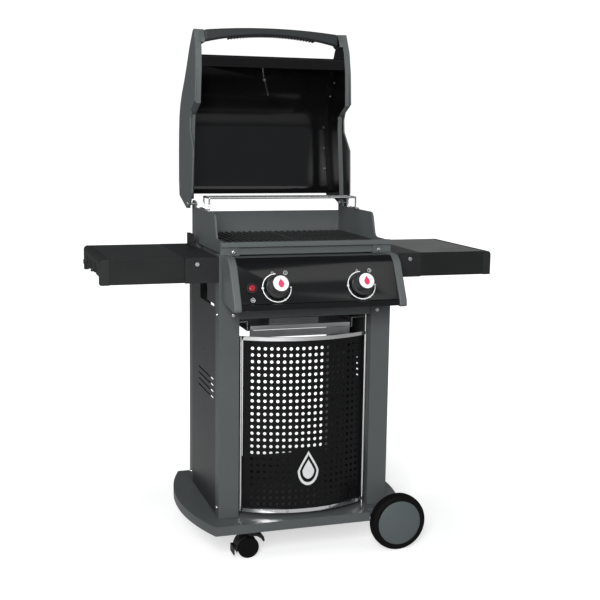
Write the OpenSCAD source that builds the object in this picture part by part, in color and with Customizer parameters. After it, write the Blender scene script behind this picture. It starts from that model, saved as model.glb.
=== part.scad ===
// Two-burner gas barbecue on a wheeled cart.
// X runs to the user's right, Y to the back, Z up; the floor is Z = 0.
// Everything is drawn with the front faces of the posts at Y = 0, and the
// lid is drawn closed; on_origin() and opened() then put it in place.

/* [Cart] */
// Width over the posts
cart_w = 538; // [460:2:650]
// Depth from the front of the posts to the back of the frame
cart_d = 409; // [350:1:500]
// Height of the posts above the base shelf
post_h = 796; // [680:1:960]
// Width of a post's front face
post_w = 62; // [50:1:75]
// Depth of a post
post_d = 44; // [34:1:52]
// Thickness of the posts' and side panels' sheet
sheet = 2; // [1.5:0.25:3]
// Height of the base shelf's upper face above the floor
base_top = 129; // [125:1:145]
// Thickness of the base shelf's rim
base_h = 28; // [22:1:32]
// How far the base shelf reaches past the posts at the front and back
base_reach = 66; // [50:1:80]
// How far the base shelf bulges past the posts at each side
base_bulge = 82; // [60:1:100]

/* [Wheels and casters] */
// Diameter of the two big wheels
wheel_d = 177; // [150:1:184]
// Width of a big wheel
wheel_w = 44; // [34:1:50]
// Diameter of the axle
axle_d = 10; // [8:0.5:14]
// Diameter of a caster's wheels
caster_d = 66; // [50:1:66]
// Width over a caster's two wheels
caster_w = 44; // [36:1:50]
// Distance of a caster's axle behind its stem
caster_trail = 16; // [10:1:20]

/* [Cookbox] */
// Height of the cookbox's front rim above the posts
rim_h = 37; // [30:1:44]
// Height of the cookbox's sides above the front rim
side_rise = 74; // [60:1:85]
// Thickness of the cast walls
cast = 6; // [4:0.5:8]
// Depth of the firebox below the posts' tops
fire_h = 140; // [110:1:160]

/* [Lid] */
// Height of the closed lid above its hinge
lid_h = 157; // [130:1:190]
// Angle from closed to open
lid_angle = 94; // [85:1:94]
// How far the lid's sides lean in towards the front
lid_lean = 1.67; // [0:0.1:2]
// Depth of the handle's bar
handle_h = 26; // [20:1:32]
// Diameter of the lid's hinge pins
pin_d = 8; // [6:0.5:10]

/* [Side tables] */
// Length of a folding table outside its bracket
table_l = 243; // [200:1:295]
// Depth of a table, front to back
table_d = 394; // [330:1:440]
// Height of a table's skirt
skirt_h = 74; // [60:1:80]
// Length of the fixed bracket beside the cart
bracket_l = 99; // [92:1:110]
// Distance of the pivot from the cart's side
pivot_x = 63; // [60:1:70]

/* [Control panel] */
// Distance between the two knobs
knob_span = 257; // [210:1:310]
// Diameter of a knob's base
knob_d = 66; // [54:1:72]
// Lean of the panel's face from the vertical
panel_lean = 25; // [18:0.5:30]

/* [Door] */
// Height of the door
door_h = 540; // [450:1:650]
// How far the door bows forward
door_bow = 58; // [30:1:60]
// Diameter of the door's side tubes
tube_d = 10; // [9:0.5:12]

/* [Hidden] */

// Clearances: between pieces that move past each other, and in a running fit
gap = 1;
fit = 0.08;
fine = 96;

// Heights and places that several pieces share
hw = cart_w / 2;
deck_z = base_top + post_h;
rim_z = deck_z + rim_h;
side_z = rim_z + side_rise;
hinge_y = cart_d + 1;
hinge_z = side_z + 10;
// A lid outline's depth, kept in proportion when the cart gets deeper
function deep(y) = y * hinge_y / 410;
module scale_x(side) if (side < 0) mirror([1, 0, 0]) children(); else children();

// A flat outline in Y and Z, given its thickness along X
module side_plate(x0, x1) {
  translate([x0, 0, 0]) rotate([90, 0, 90]) linear_extrude(x1 - x0) children();
}
// A rod between two heights, or along one axis
module rod_x(x0, x1, y, z, d) {
  translate([x0, y, z]) rotate([0, 90, 0]) cylinder(d = d, h = x1 - x0, $fn = 32);
}
module rod_y(y0, y1, x, z, d) {
  translate([x, y0, z]) rotate([-90, 0, 0]) cylinder(d = d, h = y1 - y0, $fn = 32);
}
module rod_z(z0, z1, x, y, d) {
  translate([x, y, z0]) cylinder(d = d, h = z1 - z0, $fn = 32);
}
// A round-headed screw whose head faces -Y, -X or +X
module screw_y(x, y, z, head = 12) {
  translate([x, y, z]) rotate([90, 0, 0]) {
    cylinder(d = head, h = 2.5, $fn = 32);
    translate([0, 0, 2.5]) cylinder(d1 = head - 1, d2 = head - 5, h = 1.5, $fn = 32);
  }
}

// ---- Base shelf -------------------------------------------------------
wheel_x = hw + 18;
wheel_z = wheel_d / 2;
front_wheel_y = -base_reach - 18;
base_y0 = -base_reach;
base_y1 = cart_d + base_reach + 12;
base_corner_x = hw + 24;
wheel_cut_y0 = front_wheel_y + wheel_w + 6;
wheel_cut_y1 = base_y1 - (wheel_cut_y0 - base_y0);
rear_wheel_y = wheel_cut_y1 + 6;
caster_x = hw - 75;
caster_y = [9, cart_d - 2];
stem_d = 11;

// The bulging sides are arcs through the corners and the widest point
module base_outline(inset = 0) {
  depth = base_y1 - base_y0;
  sag = hw + base_bulge - base_corner_x;
  arc_r = (depth * depth / 4 + sag * sag) / (2 * sag);
  mid_y = (base_y0 + base_y1) / 2;
  intersection() {
    translate([base_corner_x + sag - arc_r, mid_y]) circle(r = arc_r - inset, $fn = fine);
    translate([-(base_corner_x + sag - arc_r), mid_y]) circle(r = arc_r - inset, $fn = fine);
    translate([-hw - base_bulge, base_y0 + inset]) square([2 * (hw + base_bulge), depth - 2 * inset]);
  }
}

module wheel_cuts(grow = 0) {
  x0 = wheel_x - wheel_d / 2 - 6 - grow;
  for (s = [0, 1])
    translate([x0, s == 0 ? base_y0 - 1 : wheel_cut_y1 - grow])
      square([wheel_d + 60, wheel_cut_y0 - base_y0 + 1 + grow]);
}

module base_shelf() {
  lip = 4;
  color([0.33, 0.35, 0.36]) difference() {
    union() {
      difference() {
        translate([0, 0, base_top - base_h]) linear_extrude(base_h) difference() {
          base_outline();
          wheel_cuts();
        }
        translate([0, 0, base_top - base_h - 1]) linear_extrude(base_h - 3) difference() {
          base_outline(lip);
          wheel_cuts(lip);
        }
      }
      // Raised panel that a gas bottle stands on
      translate([-hw + post_w + 30, post_d + 20, base_top - 1])
        cube([2 * (hw - post_w - 30), cart_d - 2 * post_d - 46, 2]);
      for (y = caster_y)
        translate([-caster_x, y, base_top - base_h]) cylinder(d = 40, h = base_h - 2, $fn = 48);
      for (y = [wheel_cut_y0 + lip, wheel_cut_y1 - lip - 24])
        translate([wheel_x - 14, y, wheel_z - 12]) cube([28, 24, base_top - wheel_z + 10]);
    }
    for (y = caster_y)
      translate([-caster_x, y, base_top - base_h - 1])
        cylinder(d = stem_d + 2 * fit, h = base_h - 7, $fn = 48);
    rod_y(wheel_cut_y0 - 1, wheel_cut_y1 + 1, wheel_x, wheel_z, axle_d);
    for (x = [-1, 1]) for (y = [0, cart_d - post_d])
      translate([x * (hw - post_w / 2), y + post_d / 2, base_top - 5]) cylinder(d = 6, h = 6, $fn = 24);
  }
}

// ---- Posts and panels -------------------------------------------------
module post(y) {
  difference() {
    translate([hw - post_w, y, base_top]) cube([post_w, post_d, post_h]);
    translate([hw - post_w + sheet, y + sheet, base_top - 1])
      cube([post_w - 2 * sheet, post_d - 2 * sheet, post_h + 2]);
  }
}

module front_post(side) color([0.36, 0.38, 0.39]) scale_x(side) post(0);

module rear_posts() color([0.33, 0.35, 0.36]) for (side = [-1, 1]) scale_x(side) post(cart_d - post_d);

slot_n = 4;
slot_pitch = 19;
slot_z = base_top + 353;
side_y0 = post_d;
side_y1 = cart_d - post_d;
side_top = deck_z - 20;

module side_panel(side) {
  color([0.34, 0.36, 0.37]) scale_x(side) difference() {
    side_plate(hw - sheet - 0.5, hw - 0.5) difference() {
      translate([side_y0, base_top]) square([side_y1 - side_y0, side_top - base_top]);
      for (i = [0 : slot_n - 1]) translate([side_y0 + 30, slot_z + i * slot_pitch])
        square([side_y1 - side_y0 - 120, 5]);
      translate([side_y0 + 110, side_top - 140]) square([95, 100]);
      translate([side_y0 + 20, side_top - 140]) square([91, 8]);
      translate([(side_y0 + side_y1) / 2, base_top + 480]) circle(d = 6, $fn = 24);
    }
  }
}

bar_z = deck_z - 190;
bar_h = 50;
module front_crossbar() {
  color([0.33, 0.35, 0.36]) difference() {
    translate([-hw + post_w, 4, bar_z]) cube([2 * (hw - post_w), 30, bar_h]);
    translate([-hw + post_w - 1, 4 + sheet, bar_z + sheet])
      cube([2 * (hw - post_w) + 2, 30, bar_h - 2 * sheet]);
    rod_z(bar_z - 1, bar_z + sheet + 1, pivot_door_x, pivot_door_y, 6);
  }
}

module rear_crossbar() {
  color([0.3, 0.31, 0.32]) difference() {
    translate([-hw + post_w, cart_d - 34, bar_z]) cube([2 * (hw - post_w), 30, bar_h]);
    translate([-hw + post_w - 1, cart_d - 35, bar_z + sheet])
      cube([2 * (hw - post_w) + 2, 30 - sheet + 1, bar_h - 2 * sheet]);
  }
}

module rear_panel() {
  color([0.3, 0.31, 0.32])
    translate([-hw + post_w, cart_d - 6, base_top]) cube([2 * (hw - post_w), sheet, 61]);
}

module frame_screws() {
  color([0.75, 0.75, 0.76]) for (side = [-1, 1]) scale_x(side) {
    screw_y(hw - 43, 0, deck_z - 177);
    screw_y(hw - 43, 0, deck_z + 8);
    translate([hw, post_d / 2, base_top + 30]) rotate([0, 0, 90]) screw_y(0, 0, 0, 9);
    translate([hw, cart_d - post_d / 2, base_top + 30]) rotate([0, 0, 90]) screw_y(0, 0, 0, 9);
    translate([hw, post_d / 2, deck_z - 177]) rotate([0, 0, 90]) screw_y(0, 0, 0, 9);
  }
}

// ---- Cookbox ----------------------------------------------------------
box_x = hw - 14;
box_y1 = hinge_y + 20;
rail_x = hw - 4;
fire_x = hw - 27;
floor_x = fire_x - 92;
fire_y0 = post_d + 9;
fire_y1 = cart_d - post_d - 6;
step_y = 92;
ledge_z = deck_z + 12;
hinge_x = box_x - cast;

// Side wall: low at the front, stepping up to the height of the hinge
module wall_outline() {
  polygon([
    [5, deck_z], [box_y1, deck_z], [box_y1, hinge_z + 2], [hinge_y + 11, hinge_z + 11],
    [hinge_y - 11, hinge_z + 11], [hinge_y - 22, side_z], [step_y + 44, side_z],
    [step_y + 32, side_z - 4], [step_y + 24, side_z - 16], [step_y + 8, rim_z + 12],
    [step_y, rim_z + 3], [step_y - 12, rim_z], [5, rim_z]
  ]);
}

module cookbox() {
  color([0.38, 0.4, 0.41]) difference() {
    union() {
      for (side = [-1, 1]) scale_x(side) {
        side_plate(box_x - cast, box_x) wall_outline();
        translate([hw - post_w, 0, deck_z]) cube([post_w - 4, 6, rim_h - 14]);
        translate([box_x - cast - 12, 30, deck_z]) cube([13, box_y1 - 60, 12]);
      }
      // Front wall, rail and back wall
      translate([-box_x, 5, deck_z]) cube([2 * box_x, cast, rim_h - 2]);
      translate([-rail_x, -6, rim_z - 14]) cube([2 * rail_x, 17, 14]);
      translate([-box_x, box_y1 - cast, deck_z]) cube([2 * box_x, cast, rim_h + 58]);
      translate([-box_x, 5, deck_z]) cube([2 * box_x, box_y1 - 5, cast]);
      // Firebox under the deck
      translate([-fire_x, fire_y0, deck_z - fire_h + 50])
        cube([2 * fire_x, fire_y1 - fire_y0, fire_h - 50 + 1]);
      translate([0, 0, deck_z - fire_h]) rotate([90, 0, 0]) translate([0, 0, -fire_y1])
        linear_extrude(fire_y1 - fire_y0)
          polygon([[-fire_x, 50.5], [-floor_x, 0], [floor_x, 0], [fire_x, 50.5]]);
    }
    translate([-fire_x + cast, fire_y0 + cast, deck_z - fire_h + 50])
      cube([2 * (fire_x - cast), fire_y1 - fire_y0 - 2 * cast, fire_h]);
    translate([0, 0, deck_z - fire_h]) rotate([90, 0, 0]) translate([0, 0, cast - fire_y1])
      linear_extrude(fire_y1 - fire_y0 - 2 * cast)
        polygon([
          [-fire_x + cast, 50.5], [-floor_x + cast, -1], [floor_x - cast, -1], [fire_x - cast, 50.5]
        ]);
    // Burner holes in the firebox's front wall
    for (x = [-1, 1]) rod_y(fire_y0 - 1, fire_y0 + cast + 1, x * burner_x, burner_z, burner_d);
    rod_x(-box_x - 1, box_x + 1, hinge_y, hinge_z, pin_d);
  }
}

burner_x = knob_span / 2;
burner_z = deck_z - 70;
burner_d = 19;
module burner_tubes() {
  wall = 1;
  color([0.62, 0.61, 0.58]) {
    for (x = [-burner_x, burner_x]) difference() {
      rod_y(fire_y0 - 12, fire_y1 - cast - 3, x, burner_z, burner_d);
      rod_y(fire_y0 - 13, fire_y1 - cast - 6, x, burner_z, burner_d - 2 * wall);
      for (i = [0 : 15]) rod_x(x - burner_d, x + burner_d, fire_y0 + 24 + i * 16, burner_z + 2, 2.5);
    }
    difference() {
      rod_x(-burner_x + burner_d / 2, burner_x - burner_d / 2, fire_y1 - 40, burner_z, 14);
      rod_x(-burner_x + burner_d / 2 - 1, burner_x - burner_d / 2 + 1, fire_y1 - 40, burner_z, 12);
    }
  }
}

// Folded covers over the burners
module flavour_bars() {
  drop = 28;
  half = 30;
  t = 1.5;
  color([0.45, 0.44, 0.43]) for (x = [-burner_x, 0, burner_x])
    translate([x, fire_y1 - cast, deck_z - 38]) rotate([90, 0, 0])
      linear_extrude(fire_y1 - fire_y0 - 2 * cast) polygon([
        [-half, 0], [-half + t, 0], [0, drop - t], [half - t, 0], [half, 0], [0, drop]
      ]);
}

// Manifold pipe with its two valves, and an elbow that ends in the gas inlet at the left
manifold_y = -42;
manifold_z = deck_z - 92;
face_knob_y = -116;
face_knob_z = deck_z - 82;
inlet_x = -burner_x - 68;
inlet_z = deck_z - 153;
module along_knob(x, from = 0) {
  translate([x, face_knob_y, face_knob_z]) rotate([90 - panel_lean, 0, 0])
    translate([0, 0, from]) children();
}

module gas_manifold() {
  color([0.7, 0.62, 0.4]) difference() {
    union() {
      rod_x(inlet_x - 8, burner_x + 42, manifold_y, manifold_z, 16);
      for (x = [-burner_x, burner_x]) {
        along_knob(x, -62) cylinder(d = 24, h = 57.7, $fn = 48);
        rod_y(manifold_y, fire_y0 - 14, x, burner_z, 9);
        translate([x - 6, manifold_y - 6, manifold_z]) cube([12, 12, burner_z - manifold_z]);
      }
      translate([inlet_x, manifold_y, manifold_z - 22]) cylinder(d = 20, h = 15, $fn = 6);
      rod_z(inlet_z - 6, manifold_z, inlet_x, manifold_y, 12);
      rod_x(inlet_x - 20, inlet_x, manifold_y, inlet_z, 10);
      rod_x(inlet_x - 38, inlet_x - 18, manifold_y, inlet_z, 12);
    }
    for (x = [-burner_x, burner_x]) along_knob(x, -42) cylinder(d = 8 + 2 * fit, h = 40, $fn = 32);
    rod_x(inlet_x - 39, inlet_x, manifold_y, inlet_z, 7);
  }
}

// ---- Grates and warming rack ------------------------------------------
module grate(side) {
  n = 12;
  x0 = 1.5;
  x1 = box_x - cast - 3;
  y0 = 5 + cast + 3;
  y1 = box_y1 - cast - 4;
  bar = 9;
  pitch = (x1 - x0 - bar) / n;
  color([0.13, 0.13, 0.14]) scale_x(side) translate([0, 0, ledge_z]) {
    for (y = [y0, (y0 + y1 - bar) / 2, y1 - bar]) translate([x0, y, 0]) cube([x1 - x0, bar, 13]);
    for (i = [0 : n]) translate([x0 + i * pitch, y0, 3]) cube([bar, y1 - y0, 14]);
  }
}

rack_z = side_z + 38;
rack_y = [hinge_y - 165, hinge_y - 125, hinge_y - 88];
rack_x = box_x - 14;
// The shelf stands on two bent wire feet
module warming_rack() {
  wire = 3;
  rod = 6;
  leg = 5;
  foot_x = box_x - cast / 2;
  color([0.8, 0.8, 0.81]) {
    for (y = rack_y) rod_x(-rack_x, rack_x, y, rack_z, rod);
    for (i = [-11 : 11]) rod_y(rack_y[0], rack_y[2], i * rack_x / 12, rack_z, wire);
    for (x = [-rack_x, rack_x]) {
      rod_y(rack_y[0], rack_y[2], x, rack_z, rod);
      for (y = [rack_y[0], rack_y[2]]) {
        translate([x, y, rack_z]) sphere(d = rod, $fn = 32);
        rod_z(side_z + leg / 2, rack_z - rod / 2 - 0.02, x, y, leg);
        translate([x, y, side_z + leg / 2]) sphere(d = leg, $fn = 32);
        rod_x(min(x, sign(x) * foot_x), max(x, sign(x) * foot_x), y, side_z + leg / 2, leg);
      }
      // Foot that lies along the top of the cookbox's side wall
      rod_y(rack_y[0] - leg / 2, rack_y[2] + leg / 2, sign(x) * foot_x, side_z + leg / 2, leg);
    }
  }
}

// ---- Control panel ----------------------------------------------------
panel_x = hw - 31;
fold_y = -86;
fold_z = deck_z - 20;
low_z = deck_z - 124;
low_y = fold_y - (fold_z - low_z) * tan(panel_lean);
// Front outline from the top of the panel to its lower lip, in Y and Z
panel_front = [
  [-1, deck_z - 2], [-60, deck_z - 2], [-68, deck_z - 4], [fold_y, fold_z], [low_y, low_z],
  [low_y - 7, low_z - 2], [low_y - 8, low_z - 18], [low_y + 14, low_z - 20]
];
panel_back = [
  [low_y + 14, low_z - 17], [low_y - 5, low_z - 15], [low_y - 4, low_z - 4], [low_y + 3, low_z],
  [fold_y + 3, fold_z - 1], [-66, deck_z - 6], [-60, deck_z - 5], [-1, deck_z - 5]
];
module control_panel() {
  color([0.08, 0.08, 0.09]) difference() {
    side_plate(-panel_x, panel_x) polygon(concat(panel_front, panel_back));
    for (x = [-burner_x, burner_x]) along_knob(x, -30) cylinder(d = 14, h = 60, $fn = 32);
    along_knob(igniter_x, -30) cylinder(d = 24 + 2 * fit, h = 60, $fn = 48);
  }
}

module panel_cap(side) {
  color([0.36, 0.38, 0.39]) scale_x(side) side_plate(panel_x, hw - 8) polygon([
    [0, deck_z], [-58, deck_z], [-70, deck_z - 3], [fold_y - 5, fold_z - 1],
    [low_y - 10, low_z], [low_y - 13, low_z - 16], [low_y - 9, low_z - 22],
    [low_y + 30, low_z - 20], [0, low_z - 12]
  ]);
}

// The igniter stands between the left knob and the panel's cap
igniter_x = -(burner_x + 148 / 219 * (panel_x - burner_x));
module igniter_housing() {
  color([0.06, 0.06, 0.07]) along_knob(igniter_x, -34) difference() {
    union() {
      cylinder(d = 24, h = 36, $fn = 48);
      translate([0, 0, 33.05]) cylinder(d = 31, h = 4, $fn = 48);
    }
    translate([0, 0, 6]) cylinder(d = 20 + 2 * gap, h = 40, $fn = 48);
  }
}

module igniter_button() {
  color([0.6, 0.08, 0.08]) along_knob(igniter_x, -16) {
    cylinder(d = 20, h = 20, $fn = 48);
    translate([0, 0, 20]) cylinder(d1 = 20, d2 = 16, h = 2, $fn = 48);
  }
}

// The stems turn in the knobs' bores and slide in the valves when pushed
grip_d = knob_d - 14;
grip_h = 28;
module knob_stem(side) {
  color([0.7, 0.62, 0.4]) along_knob(side * burner_x, -34) cylinder(d = 8, h = 54, $fn = 32);
}

module knob(side) {
  base_h = 11;
  color([0.12, 0.12, 0.13]) along_knob(side * burner_x, 5) difference() {
    union() {
      cylinder(d = knob_d, h = base_h, $fn = fine);
      translate([0, 0, base_h]) cylinder(d1 = knob_d - 3, d2 = knob_d - 10, h = 2, $fn = fine);
      translate([0, 0, base_h]) cylinder(d = grip_d, h = grip_h, $fn = fine);
    }
    translate([0, 0, -1]) cylinder(d = 8 + 2 * fit, h = 18, $fn = 32);
    translate([0, 0, -1]) cylinder(d = 20, h = 6, $fn = 32);
  }
}

// ---- Side tables ------------------------------------------------------
table_top = deck_z - 6;
table_y0 = 8;
bracket_x1 = hw + bracket_l;
table_x1 = bracket_x1 + table_l - 28;
trim_x1 = bracket_x1 + table_l;
pivot_z = table_top - 19;
bracket_t = 3;

module table_bracket(side) {
  back = table_y0 + table_d - 3;
  color([0.12, 0.12, 0.13]) scale_x(side) difference() {
    union() {
      translate([hw + 0.3, 4, table_top - skirt_h]) cube([bracket_l - 0.3, bracket_t, skirt_h]);
      translate([hw + 0.3, back, table_top - skirt_h]) cube([bracket_l - 0.3, bracket_t, skirt_h]);
      translate([hw + 0.3, 4, table_top - skirt_h]) cube([4, back - 1, skirt_h]);
      translate([hw + 0.3, 4, table_top - 3]) cube([bracket_l - 0.3, back - 1, 3]);
      translate([hw + 1, back - 70, table_top]) cube([10, 66, 36]);
    }
    for (y = [0, back - 1]) rod_y(y, y + 10, hw + pivot_x, pivot_z, pin_d);
  }
}

module table_pivots() {
  back = table_y0 + table_d;
  color([0.78, 0.78, 0.79]) for (side = [-1, 1]) scale_x(side) {
    rod_y(4, table_y0 + 6, hw + pivot_x, pivot_z, pin_d);
    translate([hw + pivot_x, 4, pivot_z]) rotate([90, 0, 0]) cylinder(d1 = 15, d2 = 11, h = 3, $fn = 32);
    rod_y(back - 6, back, hw + pivot_x, pivot_z, pin_d);
    translate([hw + pivot_x, back, pivot_z]) rotate([-90, 0, 0]) cylinder(d1 = 15, d2 = 11, h = 3, $fn = 32);
  }
}

// Sheet pan with two arms that reach into the bracket
module table_top_pan(side) {
  t = 2;
  arm_t = 3;
  y0 = table_y0 + 0.5;
  y1 = table_y0 + table_d - 4;
  x0 = bracket_x1 + gap;
  color([0.1, 0.1, 0.11]) scale_x(side) difference() {
    union() {
      translate([x0, y0, table_top - t]) cube([table_x1 - x0, y1 - y0, t]);
      translate([x0, y0, table_top - skirt_h + 1]) cube([table_x1 - x0, t, skirt_h - 2]);
      translate([x0, y1 - t, table_top - skirt_h + 1]) cube([table_x1 - x0, t, skirt_h - 2]);
      // Tongues that close the seam behind the bracket's edges
      for (y = [y0, y1 - t])
        translate([bracket_x1 - 8, y, table_top - skirt_h + 1]) cube([20, t, skirt_h - 7]);
      for (y = [y0, y1 - arm_t]) {
        translate([hw + pivot_x, y, pivot_z - 12]) cube([bracket_l - pivot_x + 12, arm_t, 24]);
        translate([hw + pivot_x, y, pivot_z]) rotate([-90, 0, 0]) cylinder(d = 24, h = arm_t, $fn = 48);
      }
    }
    for (y = [y0, y1 - arm_t]) rod_y(y - 1, y + arm_t + 1, hw + pivot_x, pivot_z, pin_d + 2 * fit);
  }
}

hook_y = [table_d * 0.28, table_d * 0.51, table_d * 0.74];
module table_trim(side) {
  r = 12;
  out = trim_x1 - table_x1 - 2;
  long = table_d - 3;
  color([0.2, 0.21, 0.21]) scale_x(side) translate([table_x1, table_y0, table_top]) difference() {
    union() {
      translate([0, 0, -skirt_h]) cube([out, long, skirt_h - r]);
      translate([0, 0, -r]) cube([out - r, long, r]);
      translate([out - r, 0, -r]) rotate([-90, 0, 0]) cylinder(r = r, h = long, $fn = 48);
    }
    translate([-1, 4, -skirt_h - 1]) cube([out - 12, long - 8, skirt_h - 3]);
    // Low edge cut back behind the front corner, and a scoop at each hook
    translate([out - 14, 34, -skirt_h - 1]) cube([15, long - 54, 23]);
    for (y = hook_y) translate([out + 14, y, -skirt_h - 1]) cylinder(r = 22, h = skirt_h - 21, $fn = 64);
  }
}

// A hook in each scoop of the trim
module tool_hooks(side) {
  color([0.08, 0.08, 0.09]) scale_x(side) for (y = hook_y)
    translate([trim_x1 - 9.4, table_y0 + y - 5, table_top - 46]) {
      cube([3, 10, 16]);
      cube([20, 10, 4]);
      translate([17, 0, 0]) cube([3, 10, 14]);
    }
}

// ---- Grease tray ------------------------------------------------------
tray_x = 160;
tray_y0 = 56;
tray_y1 = cart_d - post_d - 10;
tray_z = bar_z - 45;
tray_h = 13;
module tray_rails() {
  color([0.5, 0.5, 0.51]) {
    for (side = [-1, 1]) scale_x(side) {
      translate([tray_x - 12, tray_y0 + 4, tray_z - 3]) cube([20, tray_y1 - tray_y0 - 4, 2]);
      translate([tray_x + 6, tray_y0 + 4, tray_z - 3]) cube([2, tray_y1 - tray_y0 - 4, 30]);
      translate([tray_x + 6, tray_y0 + 4, tray_z + 25]) cube([hw - sheet - 0.5 - tray_x - 6, 16, 2]);
      translate([tray_x + 6, tray_y1 - 16, tray_z + 25]) cube([hw - sheet - 0.5 - tray_x - 6, 16, 2]);
    }
    translate([-tray_x, tray_y0 + 4, tray_z - 24]) cube([2 * tray_x, 2, 22]);
  }
}

module grease_tray() {
  t = 1.5;
  color([0.62, 0.63, 0.64]) difference() {
    translate([-tray_x + 1, tray_y0, tray_z]) cube([2 * tray_x - 2, tray_y1 - tray_y0 - 2, tray_h]);
    translate([-tray_x + 1 + t, tray_y0 + t, tray_z + t])
      cube([2 * (tray_x - 1 - t), tray_y1 - tray_y0 - 2 - 2 * t, tray_h]);
  }
}

module drip_pan() {
  t = 1;
  z0 = tray_z + 1.5;
  color([0.75, 0.75, 0.76]) difference() {
    translate([-80, tray_y0 + 70, z0]) cube([160, 130, 20]);
    translate([-80 + t, tray_y0 + 70 + t, z0 + t]) cube([160 - 2 * t, 130 - 2 * t, 20]);
  }
}

// ---- Door -------------------------------------------------------------
pivot_door_x = hw - post_w - 9.5;
pivot_door_y = 21;
door_z0 = base_top + 12;
door_x = pivot_door_x;
skin_t = 1.5;
bow_r = (door_x * door_x + door_bow * door_bow) / (2 * door_bow);
bow_y = pivot_door_y - door_bow + bow_r;

// A ring sector between the two tubes, in plan
module bow(r0, r1, half) {
  intersection() {
    translate([0, bow_y]) difference() {
      circle(r = r1, $fn = 2 * fine);
      circle(r = r0, $fn = 2 * fine);
    }
    translate([-half, bow_y - bow_r - 20]) square([2 * half, door_bow + 26]);
  }
}

module door_frame() {
  bar_t = 11;
  bore_d = 6 + 2 * fit;
  color([0.8, 0.8, 0.81]) difference() {
    union() {
      for (x = [-door_x, door_x]) rod_z(door_z0, door_z0 + door_h, x, pivot_door_y, tube_d);
      for (z = [door_z0, door_z0 + door_h - bar_t])
        translate([0, 0, z]) linear_extrude(bar_t) bow(bow_r - 3, bow_r + 4, door_x - 0.5);
    }
    for (z = [door_z0 - 1, door_z0 + door_h - 29])
      rod_z(z, z + 30, door_x, pivot_door_y, bore_d);
  }
}

module door_skin() {
  color([0.05, 0.05, 0.06]) translate([0, 0, door_z0 + 11]) linear_extrude(door_h - 22)
    bow(bow_r - skin_t, bow_r, door_x - tube_d / 2 - 0.4);
}

// Pins that stand in the base and the crossbar, and the two hinge tabs
module door_pins() {
  color([0.75, 0.75, 0.76]) {
    rod_z(base_top, door_z0 + 24, pivot_door_x, pivot_door_y, 6);
    rod_z(door_z0 + door_h - 24, bar_z + sheet, pivot_door_x, pivot_door_y, 6);
    rod_z(base_top, door_z0 - gap / 2, pivot_door_x, pivot_door_y, 12);
  }
}

// ---- Wheels, axle and casters -----------------------------------------
hub_bore = axle_d + 2 * fit;
module axle() {
  color([0.6, 0.6, 0.61]) {
    rod_y(front_wheel_y + 12, rear_wheel_y + wheel_w - 12, wheel_x, wheel_z, axle_d);
  }
}

// A wheel whose outer face is at y and whose inner face is on the dir side
module tyre(y, dir) {
  color([0.05, 0.05, 0.05]) translate([wheel_x, y, wheel_z]) rotate([-90 * dir, 0, 0])
    rotate_extrude($fn = 2 * fine) translate([wheel_d / 2 - 19, 0]) polygon([
      [0, 4], [8, 2], [14, 6], [18.2, 13], [19, 18], [19, wheel_w - 15], [18.2, wheel_w - 10],
      [14, wheel_w - 3], [8, wheel_w], [0, wheel_w - 2]
    ]);
}

module hub(y, dir) {
  r = wheel_d / 2 - 19;
  color([0.36, 0.38, 0.39]) translate([wheel_x, y, wheel_z]) rotate([-90 * dir, 0, 0])
    difference() {
      rotate_extrude($fn = 2 * fine) polygon([
        [0, -2], [22, -1], [42, 1.5], [r - 8, 4.5], [r, 7], [r, wheel_w - 5], [r - 8, wheel_w - 5],
        [r - 8, 22], [16, 22], [16, wheel_w + 2], [0, wheel_w + 2]
      ]);
      translate([0, 0, 11]) cylinder(d = hub_bore, h = wheel_w, $fn = 48);
    }
}

caster_z = caster_d / 2;
caster_top = base_top - base_h - 2;
module at_caster(i) translate([-caster_x, caster_y[i], 0]) rotate([0, 0, -90]) children();

// Hood with its stem; the axle is printed with it
module caster_hood(i) {
  color([0.09, 0.09, 0.1]) at_caster(i) {
      translate([0, 0, caster_top]) cylinder(d = stem_d, h = base_h - 8, $fn = 48);
      translate([0, 0, caster_top - 7]) cylinder(d = 30, h = 7, $fn = 48);
      translate([0, caster_trail / 2, caster_z + 18]) translate([-6, -20, 0])
        cube([12, 40, caster_top - 7 - caster_z - 18 + 1]);
      translate([-6, caster_trail - 8, caster_z - 8]) cube([12, 16, 40]);
      rod_x(-caster_w / 2 + 4, caster_w / 2 - 4, caster_trail, caster_z, 8);
      rod_x(-21, 21, caster_trail + 6, brake_z, 5 - 2 * fit);
      // Guard that curves down over the leading side of the rollers
      translate([0, caster_trail, caster_z]) rotate([90, 0, 90]) translate([0, 0, -22]) linear_extrude(44)
        difference() {
          circle(r = caster_d / 2 + 6, $fn = fine);
          circle(r = caster_d / 2 + 3, $fn = fine);
          translate([-8, -60]) square([80, 120]);
          translate([-70, -70]) square([80, 60]);
        }
      translate([-22, caster_trail - caster_d / 2 - 14, caster_z - 18]) cube([44, 3, 24]);
      translate([-22, caster_trail - caster_d / 2 - 14, caster_z + 3]) cube([44, 11, 3]);
  }
}

module caster_wheels(i) {
  side_w = caster_w / 2 - 8;
  color([0.07, 0.07, 0.08]) at_caster(i) for (side = [-1, 1]) scale_x(side)
    translate([8, caster_trail, caster_z]) rotate([0, 90, 0]) difference() {
      rotate_extrude($fn = fine) polygon([
        [0, 0], [caster_d / 2 - 2, 0], [caster_d / 2, 3], [caster_d / 2, side_w - 4],
        [caster_d / 2 - 4, side_w], [0, side_w]
      ]);
      translate([0, 0, -1]) cylinder(d = 8 + 2 * fit, h = side_w - 3, $fn = 48);
    }
}

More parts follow.
